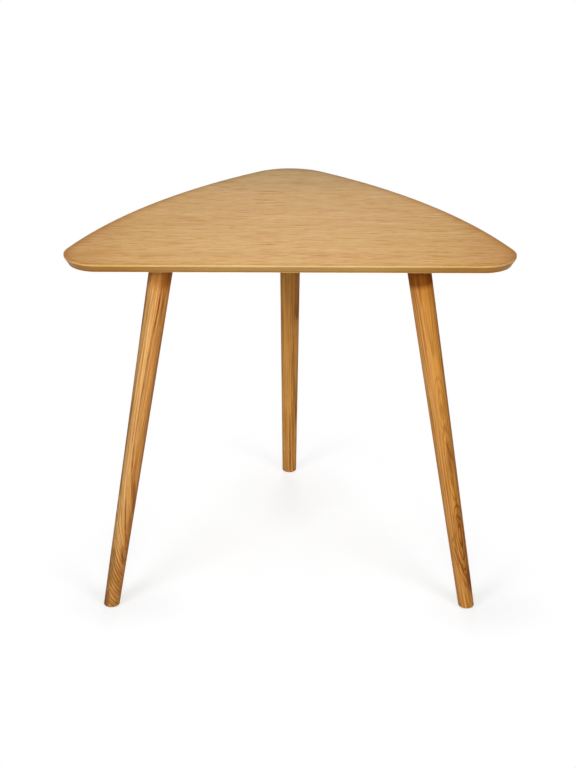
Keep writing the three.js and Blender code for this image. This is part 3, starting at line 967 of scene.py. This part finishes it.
legLooks = {
    "front_left": {
        **oakLook,
        "light": (0.58, 0.278, 0.076),
        "middle": (0.50, 0.222, 0.055),
        "paleAndSheen": (1.16, 1.36, 1.70),        # multiplies the paler side: partly paler wood, partly painted sheen
        "pith": (38.0, 14.0),              # x and y of the tree's middle
        "swing": (-390.0, 2.7e-6),
        "strokes": [                       # (x, z) of both ends, half width, bow, strength
            ((7.4, -22), (2.0, -160), 1.9, 1.2, 1.0),
            ((2.2, -140), (-2.2, -385), 1.7, -0.7, 0.85),
            ((-2.4, -360), (10.5, -505), 2.2, -2.4, 0.85),
            ((13.5, -40), (5.0, -300), 1.7, -0.8, 0.45),
            ((14.0, -40), (13.0, -128), 2.6, 0.0, 0.75),
            ((4.5, -280), (5.5, -450), 1.8, -1.0, 0.4),
            ((-3.0, -490), (12.5, -605), 2.2, -1.6, 0.85),
            ((-12.0, -470), (3.0, -590), 1.8, -1.8, 0.35),
            ((9.0, -455), (17.0, -540), 3.6, 0.6, 0.8),
            ((3.5, -606), (14.0, -650), 3.2, -0.8, 0.8),
            *[((-15.0, -596 - 14 * count), (15.0, -664 - 9 * count), 1.4, -4.0 + 0.2 * count, 0.8)
              for count in range(10)],
        ],
        "stainsAndShade": [                        # (x, z), half width, half length, strength; stain marks, and some painted shade
            # painted shade under the board
            ((15, -30), 16, 40, 0.5),
            # painted shade along the right side
            ((21, -300), 8, 300, 0.4),
            ((-13, -730), 10, 34, 0.6),
            ((-14, -660), 12, 70, 0.4),
            ((15, -570), 9, 110, 0.4),
        ],
        "paintedShading": [    # painted shade and light: side (-1 left to 1 right) or z, from where, to where, what it multiplies by
            ("side", -0.35, -1.0, (0.78, 0.78, 0.84)),
            ("side", -0.84, -1.0, (0.80, 0.74, 0.64)),
            ("side", 0.5, 1.0, (0.88, 0.86, 0.82)),
            ("z", -56, -34, (0.68, 0.56, 0.38)),
            ("z", -540, -680, (0.86, 0.80, 0.70)),
        ],
    },
    "front_right": {
        **oakLook,
        "paleAndSheen": (1.0, 1.06, 1.55),
        "paleSheenEdge": (-16.0, 8.0),
        "pith": (-10.0, 46.0),
        "eyes": [((9, -18, -592), 10, 105, 14.0)],
        "strokes": [
            ((-9.5, -125), (-7.5, -178), 2.2, 0.0, 0.5),
            ((3.0, -368), (14.0, -424), 3.0, 1.4, 0.8),
            ((-11.0, -594), (4.0, -566), 2.2, 2.0, 0.6),
            ((-8.0, -600), (12.5, -690), 1.8, -1.6, 1.0),
            ((-3.0, -620), (14.0, -700), 1.4, -1.2, 0.8),
            ((-11.0, -615), (6.0, -700), 1.4, -1.0, 0.6),
            ((8.0, -690), (9.0, -738), 3.4, 0.0, 0.6),
        ],
        "stainsAndShade": [
            ((5, -303), 6, 20, 0.4),
            ((10, -405), 9, 60, 0.4),
            ((13, -680), 8, 46, 0.9),
            # painted shade along the right side
            ((22, -330), 6, 320, 0.5),
            ((9, -557), 6, 13, 0.55),
            ((8, -588), 5, 9, 0.5),
            ((11, -560), 12, 90, 0.3),
            ((12, -620), 14, 150, 0.3),
        ],
        "ovals": [
            ((8, -580), 11, 72, 3, 1.0),
            ((7, -420), 9, 84, 2, 0.55),
            ((6, -290), 10, 60, 2, 0.35),
        ],
        # painted shade at the right side and under the board
        "paintedShading": [
            ("side", 0.4, 1.0, (0.88, 0.86, 0.82)),
            ("z", -52, -40, (0.40, 0.28, 0.12)),
            ("z", -90, -50, (0.89, 0.83, 0.72)),
        ],
    },
    "back": {
        **oakLook,
        "light": (0.625, 0.308, 0.077),
        "middle": (0.55, 0.254, 0.059),
        "paleAndSheen": (1.12, 1.16, 1.22),
        "paleSheenEdge": (-8.0, 6.0),
        "pith": (-34.0, 22.0),
        "eyes": [((3, -21, -285), 6, 34, 4.0)],
        "strokes": [
            ((0.6, -560), (0.8, -738), 2.2, 0.3, 0.85),
            ((-9.0, -550), (-8.5, -720), 2.0, 0.0, 0.4),
            ((3.0, -200), (7.0, -330), 2.4, 0.6, 0.5),
            ((-3.0, -200), (-1.0, -300), 2.0, 0.4, 0.35),
            ((4.0, -380), (4.0, -520), 3.0, 0.4, 0.4),
        ],
        # painted shade under the board, painted light towards the foot
        "paintedShading": [
            ("z", -480, -270, (0.88, 0.86, 0.82)),
            ("z", -480, -600, (1.10, 1.09, 1.06)),
        ],
        "stainsAndShade": [
            ((2, -235), 24, 90, 0.22),
            ((7, -300), 11, 44, 0.35),
        ],
    },
}


figureLook = {
    "firmness": 1.4,                   # how soon a stroke is at its full strength
    "ovalWobble": ((0.10, 0.10, 0.03), 2.0, 0.35),    # in half sizes of the oval
    "ovalShape": [(0.0, 1.0), (0.25, 0.15), (0.62, 0.0), (0.86, 0.9), (1.0, 1.0)],
    "ovalEnd": (1.12, 0.98),           # in half sizes, from where to where it appears
}


# 1 where the value is 0, falling to 0 where it is 1 or -1
def dome(tree, value):
    return mathNode(tree, "MULTIPLY_ADD", times(tree, value, value), -1.0, 1.0, clamp=True)


# a soft line between two places, bowed to its left on the way there
def softStroke(tree, local, start, end, halfWidth, bow):
    (fromX, fromZ), (toX, toZ) = start, end
    run, rise = toX - fromX, toZ - fromZ
    middle = ((fromX + toX) / 2, 0, (fromZ + toZ) / 2)
    size = (halfWidth, endless, math.hypot(run, rise) / 2)
    inside = localTo(tree, local, middle, size, (0, math.atan2(run, rise), 0))
    across, through, along = partsOf(tree, inside)
    ends = dome(tree, along)
    aside = mathNode(tree, "MULTIPLY_ADD", ends, bow / halfWidth, across)
    full = mathNode(tree, "MULTIPLY", dome(tree, aside), figureLook["firmness"], clamp=True)
    return times(tree, full, mathNode(tree, "SQRT", ends))


# nested soft ovals, as where a ring of the tree is cut flat
def softOvals(tree, local, place, halfWidth, halfLength, rings):
    inside = localTo(tree, local, (place[0], 0, place[1]), (halfWidth, endless, halfLength))
    length = addNode(tree, "ShaderNodeVectorMath", {0: inside}, operation="LENGTH").outputs["Value"]
    length = mathNode(tree, "SUBTRACT", length, figureLook["ovalWobble"][2] / 2)
    length = lifted(tree, length, local, *figureLook["ovalWobble"])
    line = ramp(tree, mathNode(tree, "FRACT", times(tree, length, rings)), figureLook["ovalShape"])
    return times(tree, line, remap(tree, length, *figureLook["ovalEnd"]))


def solidOak(name, station, look):
    material, tree, shader = newMaterial(name, look["middle"])
    turn = Matrix.Rotation(station["turn"], 3, "Z")
    lean = turn @ Matrix.Rotation(-leg["splay"], 3, "Y") @ turn.inverted()
    local = localTo(tree, objectCoords(tree), station["place"], millimetre, lean.to_euler())
    x, y, z = partsOf(tree, local)
    swingStart, swingRate = look["swing"]
    below = mathNode(tree, "MAXIMUM", mathNode(tree, "SUBTRACT", swingStart, z), 0.0)
    grainX = mathNode(tree, "MULTIPLY_ADD", mathNode(tree, "POWER", below, 3.0), -swingRate, x)
    grain = vectorOf(tree, grainX, y, z)

    pithX, pithY = look["pith"]
    distance = lengthOf(tree, mathNode(tree, "SUBTRACT", grainX, pithX), mathNode(tree, "SUBTRACT", y, pithY))
    for wandering in (look["drift"], look["wobble"]):
        distance = lifted(tree, distance, grain, *wandering)
    for place, halfWidth, halfLength, lift in look["eyes"]:
        inside = localTo(tree, local, place, (halfWidth, halfWidth, halfLength))
        squares = addNode(tree, "ShaderNodeVectorMath", {0: inside, 1: inside}, operation="DOT_PRODUCT")
        hill = mathNode(tree, "DIVIDE", lift, mathNode(tree, "ADD", squares.outputs["Value"], 1.0))
        distance = mathNode(tree, "ADD", distance, hill)

    tone = mathNode(tree, "FRACT", mathNode(tree, "DIVIDE", distance, look["ringSpacing"]))
    ringLine = ramp(tree, tone, look["ringShape"])
    darkness = times(tree, ringLine, mask(tree, vectorOf(tree, distance, z, 0.0), *look["eachRing"]))
    drawn = times(tree, mask(tree, grain, *look["ragged"]), remap(tree, y, *look["facing"]))
    figures = [(softStroke(tree, local, *shape), depth) for *shape, depth in look["strokes"]]
    figures += [(softOvals(tree, local, *shape), depth) for *shape, depth in look["ovals"]]
    for line, depth in figures:
        darkness = mathNode(tree, "MAXIMUM", darkness, times(tree, line, depth, drawn))
    # stain marks, some of them painted shade
    for (stainX, stainZ), halfWidth, halfLength, depth in look["stainsAndShade"]:
        patch = softMark(tree, local, (stainX, 0, stainZ), (halfWidth, endless, halfLength))
        patch = mathNode(tree, "MINIMUM", times(tree, patch, 2 * depth, drawn), depth)
        darkness = mathNode(tree, "MAXIMUM", darkness, patch)

    middleLevel, lightLevel = look["broadLevels"]
    stops = [(middleLevel, look["middle"]), (lightLevel, look["light"])]
    body = ramp(tree, noise(tree, grain, *look["broad"]), stops)
    # the left side: partly paler wood, partly painted sheen
    body = tint(tree, body, remap(tree, x, *look["paleSheenEdge"], 1.0, 0.0), look["paleAndSheen"])
    color = mixColor(tree, darkness, body, look["dark"])
    color, fibre = layered(tree, color, grain, look["layers"])
    poreMask = times(tree, mask(tree, grain, *look["pores"]), remap(tree, tone, *look["porous"]))
    color = mixColor(tree, poreMask, color, look["pore"])
    radius = mathNode(tree, "MULTIPLY_ADD", z, leg["taperPerLength"], 1000 * leg["topRadius"])
    side = mathNode(tree, "DIVIDE", x, radius)
    # painted shade at the sides, under the board and towards the foot, and painted light low on the back leg
    for along, start, end, level in look["paintedShading"]:
        color = tint(tree, color, remap(tree, side if along == "side" else z, start, end), level)
    relief = mathNode(tree, "MULTIPLY_ADD", poreMask, -look["poreDepth"], fibre)
    coat(tree, shader, color, fibre, relief, look)
    return material


edgeLook = {
    "lip": (0.57, 0.408, 0.175),
    "undercut": (0.400, 0.218, 0.058),
    "ends": (0.150, 0.340),            # x to either side, from where to where the edge darkens in painted shade
    "lipEndShade": (0.92, 0.85, 0.62),     # painted shade: what that multiplies the lip by
    "undercutEndShade": (0.80, 0.64, 0.38),
    "bottom": (0.0060, 0.0022),        # height over the underside, from where to where the undercut darkens
    "bottomEdge": (0.80, 0.68, 0.44),
    "layers": {                        # as in the veneer's look, but stretched per m
        "clouds": ((9.0, 9.0, 60.0), 2.0, 0.5, [(0.3, 0.94), (0.7, 1.04)]),
        "grains": ((900.0, 900.0, 900.0), 3.0, 0.6, [(0.3, 0.93), (0.7, 1.06)]),
    },
    "roughness": (0.47, 0.37),
    "relief": (0.00003, 0.3),
    "shader": {"Specular IOR Level": 0.16},
}


def lacqueredBoard(name, look):
    material, tree, shader = newMaterial(name, look["undercut"])
    coords = objectCoords(tree)
    x, y, height = partsOf(tree, coords)
    onLip = remap(tree, height, lipBottom, lipBottom + board["lipRounding"])
    towardEndShade = remap(tree, mathNode(tree, "ABSOLUTE", x), *look["ends"])
    atBottom = remap(tree, mathNode(tree, "SUBTRACT", height, underside), *look["bottom"])
    color = mixColor(tree, onLip, look["undercut"], look["lip"])
    # painted shade towards both ends of the straight edge
    color = tint(tree, color, towardEndShade, mixColor(tree, onLip, look["undercutEndShade"], look["lipEndShade"]))
    color = tint(tree, color, atBottom, look["bottomEdge"])
    color, grains = layered(tree, color, coords, look["layers"])
    coat(tree, shader, color, grains, grains, look)
    return material


zincLook = {
    "base": (0.62, 0.63, 0.65),        # in the viewport
    "mottle": (160.0, 2.0, [(0.35, (0.54, 0.56, 0.60)), (0.65, (0.68, 0.67, 0.62))]),    # scale, detail, ramp
    "speckle": (2200.0, 2.0),
    "roughness": (0.28, 0.44),
    "relief": (0.00002, 0.25),
    "shader": {"Metallic": 1.0},
}
nylonLook = {
    "base": (0.78, 0.75, 0.68),
    "mottle": (500.0, 3.0, [(0.3, (0.74, 0.71, 0.63)), (0.7, (0.80, 0.77, 0.70))]),
    "speckle": (500.0, 3.0),
    "roughness": (0.5, 0.62),
    "relief": (0.00003, 0.3),
    "shader": {},
}


def mottledFinish(name, look):
    material, tree, shader = newMaterial(name, look["base"])
    coords = objectCoords(tree)
    scale, detail, stops = look["mottle"]
    color = ramp(tree, noise(tree, coords, (scale, scale, scale), detail), stops)
    scale, detail = look["speckle"]
    speckle = noise(tree, coords, (scale, scale, scale), detail)
    coat(tree, shader, color, speckle, speckle, look)
    return material


edgeMaterial = lacqueredBoard("lacqueredCore", edgeLook)
veneerMaterial = oakVeneer("oakVeneer", veneerLook)
steel = mottledFinish("zincPlatedSteel", zincLook)
nylon = mottledFinish("naturalNylon", nylonLook)

standFor(core, edgeMaterial, "edge", "tabletop_core")
standFor(faceVeneer, veneerMaterial, "veneer", "tabletop_veneer")
standFor(backingVeneer, veneerMaterial, "veneer", "backing_veneer")
for name, station in stations.items():
    oak = solidOak("solidOak_" + name, station, legLooks[name])
    place, foot = station["place"], station["foot"]
    tilted, upright = station["tilted"], (0, 0, station["turn"])
    legPieces = [    # master, the copy's name, place, turn, material and slot, and the node that it replaces
        (legMaster, "oakLeg_", place, tilted, oak, "leg_oak", "leg_"),
        (boltMaster, "hangerBolt_", place, tilted, steel, "zinc_plate", "hanger_bolt_"),
        (nutMaster, "weldNut_", place, tilted, steel, "zinc_plate", "weld_nut_"),
        (plateMaster, "legPlate_", place, upright, steel, "zinc_plate", "mounting_plate_"),
        (glideMaster, "floorGlide_", foot, upright, nylon, "nylon", "floor_glide_"),
        (nailMaster, "glideNail_", foot, upright, steel, "zinc_plate", "glide_nail_"),
    ]
    for master, copyName, where, turn, material, slot, node in legPieces:
        standFor(copyPiece(master, copyName + name, where, turn), material, slot, node + name)
    for count, where in enumerate(screwPlaces(place, station["turn"]), start=1):
        driven = station["turn"] + math.radians(screw["driven"] * count)    # recesses end at odd angles
        piece = copyPiece(screwMaster, "plateScrew_%s_%d" % (name, count), where, (0, 0, driven))
        standFor(piece, steel, "zinc_plate", "plate_screw_%s_%d" % (name, count))
masters = [legMaster, boltMaster, nutMaster, plateMaster, glideMaster, nailMaster, screwMaster, holeMaster]
for master in masters:
    bpy.data.objects.remove(master)
print("leg sets placed and finished")


stage = {
    "floorSize": 14.0,
    "floorDrop": 0.0002,
    "paper": (0.845, 0.862, 0.882),
    "ambient": 0.08,
    "keepShadow": 0.50,                  # share of the floor's real shading that shows near the feet
    "clearFloor": (-0.31, 0.70, 0.31, 0.53),    # y, brightness of the clear floor there, twice
    "shadowSpots": [                     # middle, half width, half length, turn in degrees
        ((-0.20, -0.05), 0.26, 0.56, -33),
        ((0.20, -0.05), 0.26, 0.56, 33),
        ((0.02, 0.24), 0.34, 0.34, 0),
    ],
    "spotStrength": 2.0,
    "spotBlend": 0.3,                    # how softly they meet and level off
    "footShades": [                      # middle, half width, half length, how much darker than white
        ((-0.335, -0.315), 0.150, 0.120, 0.080),
        ((0.400, -0.330), 0.150, 0.130, 0.075),
        ((0.010, 0.200), 0.150, 0.190, 0.050),
    ],
}


def seenStraight(tree):
    path = addNode(tree, "ShaderNodeLightPath", {})
    mirrored = mathNode(tree, "MAXIMUM", path.outputs["Is Glossy Ray"], path.outputs["Is Transmission Ray"])
    return mathNode(tree, "MAXIMUM", path.outputs["Is Camera Ray"], mirrored)


def mixShaders(tree, share, first, second):
    return addNode(tree, "ShaderNodeMixShader", {0: share, 1: first.outputs[0], 2: second.outputs[0]})


def whiteFloor():
    deselectAll()
    bpy.ops.mesh.primitive_plane_add(size=stage["floorSize"], location=(0, 0, -stage["floorDrop"]))
    floor = bpy.context.object
    floor.name = "studioFloor"
    material = bpy.data.materials.new("whitePaper")
    tree = emptyTree(material)
    output = tree.nodes.new("ShaderNodeOutputMaterial")
    coords = objectCoords(tree)
    shown = 0.0
    for (spotX, spotY), halfWidth, halfLength, turn in stage["shadowSpots"]:
        size, turned = (halfWidth, halfLength, 1), (0, 0, math.radians(turn))
        spot = softMark(tree, coords, (spotX, spotY, 0), size, turned)
        spot = mathNode(tree, "MULTIPLY", spot, stage["spotStrength"], clamp=True)
        shown = mathNode(tree, "MAXIMUM", shown, spot)
    shown = mathNode(tree, "SMOOTH_MIN", shown, 1.0, stage["spotBlend"])
    shown = times(tree, shown, stage["keepShadow"])
    nearY, nearLight, farY, farLight = stage["clearFloor"]
    clear = remap(tree, partsOf(tree, coords)["Y"], nearY, farY, nearLight, farLight)
    lift = mathNode(tree, "SUBTRACT", 1.0, times(tree, shown, clear))
    for (spotX, spotY), halfWidth, halfLength, darker in stage["footShades"]:
        spot = softMark(tree, coords, (spotX, spotY, 0), (halfWidth, halfLength, 1))
        lift = mathNode(tree, "MULTIPLY_ADD", spot, -darker, lift)
    hidden = mathNode(tree, "SUBTRACT", 1.0, shown)
    strength = mathNode(tree, "DIVIDE", lift, hidden)
    paper = addNode(tree, "ShaderNodeBsdfDiffuse", {"Color": (*stage["paper"], 1)})
    glow = addNode(tree, "ShaderNodeEmission", {"Color": (1, 1, 1, 1), "Strength": strength})
    white = times(tree, seenStraight(tree), hidden)
    mixed = mixShaders(tree, white, paper, glow)
    fromBelow = addNode(tree, "ShaderNodeNewGeometry", {}).outputs["Backfacing"]
    clearGlass = addNode(tree, "ShaderNodeBsdfTransparent", {})
    oneSided = mixShaders(tree, fromBelow, mixed, clearGlass)
    tree.links.new(oneSided.outputs[0], output.inputs["Surface"])
    floor.data.materials.append(material)


def whiteRoom():
    world = bpy.data.worlds.new("whiteRoom")
    bpy.context.scene.world = world
    tree = emptyTree(world)
    output = tree.nodes.new("ShaderNodeOutputWorld")
    soft = addNode(tree, "ShaderNodeBackground", {"Color": (1, 1, 1, 1), "Strength": stage["ambient"]})
    white = addNode(tree, "ShaderNodeBackground", {"Color": (1, 1, 1, 1), "Strength": 1.0})
    mixed = mixShaders(tree, seenStraight(tree), soft, white)
    tree.links.new(mixed.outputs[0], output.inputs["Surface"])


lamps = {
    "leftBox": {"azimuth": -35, "elevation": 27, "distance": 3.2, "size": 1.3, "power": 44},
    "rightBox": {"azimuth": 35, "elevation": 27, "distance": 3.2, "size": 1.3, "power": 38},
    "frontBox": {"azimuth": 0, "elevation": 27, "distance": 3.2, "size": 1.0, "power": 27},
    "topBox": {"azimuth": 0, "elevation": 74, "distance": 1.35, "size": 0.5, "power": 3.0},
    "backBox": {"azimuth": 180, "elevation": 32, "distance": 2.2, "size": 0.9, "power": 3.4},
    "fillBox": {"azimuth": 180, "elevation": 12, "distance": 3.2, "size": 1.3, "power": 22, "sheen": False},
}
lampAim = Vector((0, 0, 0.45))


def addLamp(name, lamp):
    azimuth, elevation = math.radians(lamp["azimuth"]), math.radians(lamp["elevation"])
    level = math.cos(elevation)
    away = Vector((math.sin(azimuth) * level, -math.cos(azimuth) * level, math.sin(elevation)))
    data = bpy.data.lights.new(name, "AREA")
    data.shape = "DISK"
    data.size = lamp["size"]
    data.energy = lamp["power"]
    lampObject = bpy.data.objects.new(name, data)
    bpy.context.scene.collection.objects.link(lampObject)
    lampObject.location = lampAim + away * lamp["distance"]
    lampObject.rotation_euler = away.to_track_quat("Z", "Y").to_euler()
    lampObject.visible_camera = False
    lampObject.visible_glossy = lamp.get("sheen", True)


view = {
    "place": (-0.000853, -3.83053, 2.08307),
    "yaw": -0.0007,
    "pitch": 0.4222,
    "roll": 0.0032,
    "focalPixels": 1966.42,
    "longSidePixels": 768,
    "sensor": 36.0,
}


def addCamera():
    data = bpy.data.cameras.new("photoView")
    data.sensor_width = view["sensor"]
    data.lens = view["focalPixels"] * view["sensor"] / view["longSidePixels"]
    camera = bpy.data.objects.new("photoView", data)
    bpy.context.scene.collection.objects.link(camera)
    aim = Euler((math.pi / 2 - view["pitch"], 0, -view["yaw"])).to_matrix()
    camera.rotation_euler = (aim @ Matrix.Rotation(view["roll"], 3, "Z")).to_euler()
    camera.location = view["place"]
    bpy.context.scene.camera = camera


whiteFloor()
whiteRoom()
for name, lamp in lamps.items():
    addLamp(name, lamp)
addCamera()
bpy.context.scene.view_settings.view_transform = "Standard"
print("stage, light and camera set")
